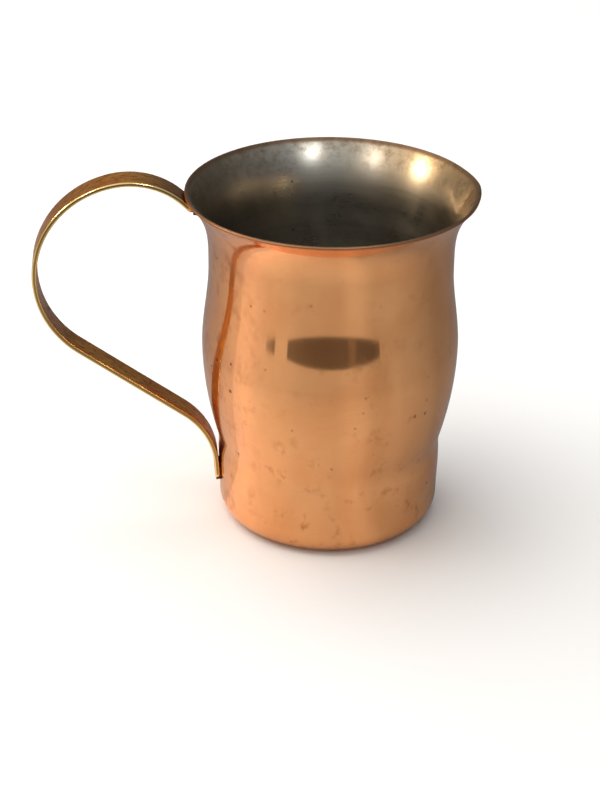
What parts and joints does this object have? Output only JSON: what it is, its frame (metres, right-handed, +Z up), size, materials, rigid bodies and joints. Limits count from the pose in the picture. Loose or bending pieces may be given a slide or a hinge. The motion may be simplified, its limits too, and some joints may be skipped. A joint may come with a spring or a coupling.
{
  "type": "milk frothing jug",
  "caption": "Lined copper milk frothing jug with a waisted foot, round belly, flared rim, small pressed pouring lip and a brass strap handle.",
  "frame": {"origin": "centre of the base underside, on the axis of the turned body", "axes": "+Z up along the axis of the turned body, +X towards the pouring lip, the handle along -X"},
  "size_m": [0.1392, 0.091, 0.1177],
  "materials": {
    "copper": "polished copper with fine turning lines and small dark specks",
    "lining": "satin steel, brushed round, stained light brown near the rim",
    "strap": "aged brass, brown on the faces and bright on the edges",
    "braze": "dull brazing metal"
  },
  "bodies": {
    "root": {"copper_body": "copper", "steel_lining": "lining", "strap_handle": "strap", "upper_braze": "braze", "lower_braze": "braze"}
  },
  "joints": []
}
